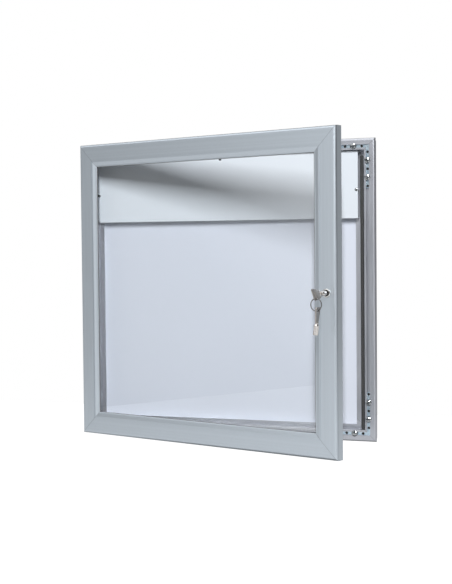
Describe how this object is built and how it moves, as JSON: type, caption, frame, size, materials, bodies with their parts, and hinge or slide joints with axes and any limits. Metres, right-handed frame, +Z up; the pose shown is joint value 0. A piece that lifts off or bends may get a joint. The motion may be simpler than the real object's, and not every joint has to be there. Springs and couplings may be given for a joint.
{
  "type": "lockable notice board",
  "caption": "Wall notice board: a shallow aluminium case with a white display panel and a header, behind a glazed door with a side hinge and a tubular key lock.",
  "frame": {"origin": "centre of the flat back, which lies against the wall", "axes": "+Z up, +X to the right seen from the front, -Y out of the front"},
  "size_m": [0.6216, 0.2785, 0.602],
  "materials": {
    "case_aluminium": "satin anodised",
    "door_aluminium": "satin anodised",
    "hinge_aluminium": "satin anodised",
    "bracket_zinc": "bluish bright zinc plating",
    "cleat_zinc": "zinc plating",
    "screw_steel": "bright",
    "pin_steel": "bright",
    "display_white": "smooth white enamel",
    "header_silver": "smooth silver-white coating",
    "back_sheet": "plain coated sheet",
    "strip_black": "smooth, slightly glossy black",
    "gasket_grey": "matt",
    "bead_black": "matt black",
    "pane_clear": "clear and smooth",
    "lock_chrome": "polished",
    "ring_steel": "bright wire",
    "key_nickel": "satin nickel plating"
  },
  "bodies": {
    "case": {"case_bottom_rail": "case_aluminium", "case_lock_side_stile": "case_aluminium", "case_top_rail": "case_aluminium", "case_hinge_side_stile": "case_aluminium", "corner_bracket_lower_left": "bracket_zinc", "corner_bracket_lower_right": "bracket_zinc", "corner_bracket_upper_right": "bracket_zinc", "corner_bracket_upper_left": "bracket_zinc", "bracket_screw_lower_left_1": "screw_steel", "bracket_screw_lower_left_2": "screw_steel", "bracket_screw_lower_left_3": "screw_steel", "bracket_screw_lower_left_4": "screw_steel", "bracket_screw_lower_right_1": "screw_steel", "bracket_screw_lower_right_2": "screw_steel", "bracket_screw_lower_right_3": "screw_steel", "bracket_screw_lower_right_4": "screw_steel", "bracket_screw_upper_right_1": "screw_steel", "bracket_screw_upper_right_2": "screw_steel", "bracket_screw_upper_right_3": "screw_steel", "bracket_screw_upper_right_4": "screw_steel", "bracket_screw_upper_left_1": "screw_steel", "bracket_screw_upper_left_2": "screw_steel", "bracket_screw_upper_left_3": "screw_steel", "bracket_screw_upper_left_4": "screw_steel", "display_panel": "display_white", "back_panel": "back_sheet", "header_panel": "header_silver", "header_spacer_left": "screw_steel", "header_spacer_right": "screw_steel", "header_spacer_middle": "screw_steel", "header_screw_left": "screw_steel", "header_screw_right": "screw_steel", "header_screw_middle": "screw_steel", "lock_side_strip": "strip_black", "hinge_case_leaf": "hinge_aluminium", "hinge_pin": "pin_steel", "hinge_rivet_case_1": "pin_steel", "hinge_rivet_case_2": "pin_steel"},
    "door": {"door_bottom_rail": "door_aluminium", "door_lock_side_stile": "door_aluminium", "door_top_rail": "door_aluminium", "door_hinge_side_stile": "door_aluminium", "door_pane": "pane_clear", "glazing_gasket": "gasket_grey", "glazing_bead": "bead_black", "door_corner_cleat_lower_left": "cleat_zinc", "door_corner_cleat_lower_right": "cleat_zinc", "door_corner_cleat_upper_right": "cleat_zinc", "door_corner_cleat_upper_left": "cleat_zinc", "hinge_door_leaf": "hinge_aluminium", "hinge_rivet_door_1": "pin_steel", "hinge_rivet_door_2": "pin_steel", "lock_barrel": "lock_chrome", "lock_nut": "cleat_zinc"},
    "lock_plug": {"lock_plug": "lock_chrome", "lock_cam": "cleat_zinc", "lock_cam_screw": "pin_steel"},
    "key": {"key": "key_nickel"},
    "key_ring": {"key_ring": "ring_steel"},
    "spare_key": {"spare_key": "key_nickel"}
  },
  "joints": [
    {"name": "door_hinge", "type": "hinge", "parent": "case", "child": "door", "pos_m": [-0.31075, -0.02825, 0], "axis": [0, 0, -1], "range_deg": [-17, 158]},
    {"name": "lock_turn", "type": "hinge", "parent": "door", "child": "lock_plug", "pos_m": [0.26005, -0.22456, 0.0022], "axis": [0.2924, 0.9563, 0], "range_deg": [0, 90]},
    {"name": "key_slide", "type": "slide", "parent": "lock_plug", "child": "key", "axis": [-0.2924, -0.9563, 0], "range_m": [0, 0.012]},
    {"name": "key_ring_swing", "type": "hinge", "parent": "key", "child": "key_ring", "pos_m": [0.25081, -0.26482, -0.00588], "axis": [0.9563, -0.2924, 0], "range_deg": [-45, 28]},
    {"name": "spare_key_swing", "type": "hinge", "parent": "key_ring", "child": "spare_key", "pos_m": [0.25448, -0.26594, -0.02761], "axis": [0.9563, -0.2924, 0], "range_deg": [-40, 40]}
  ]
}
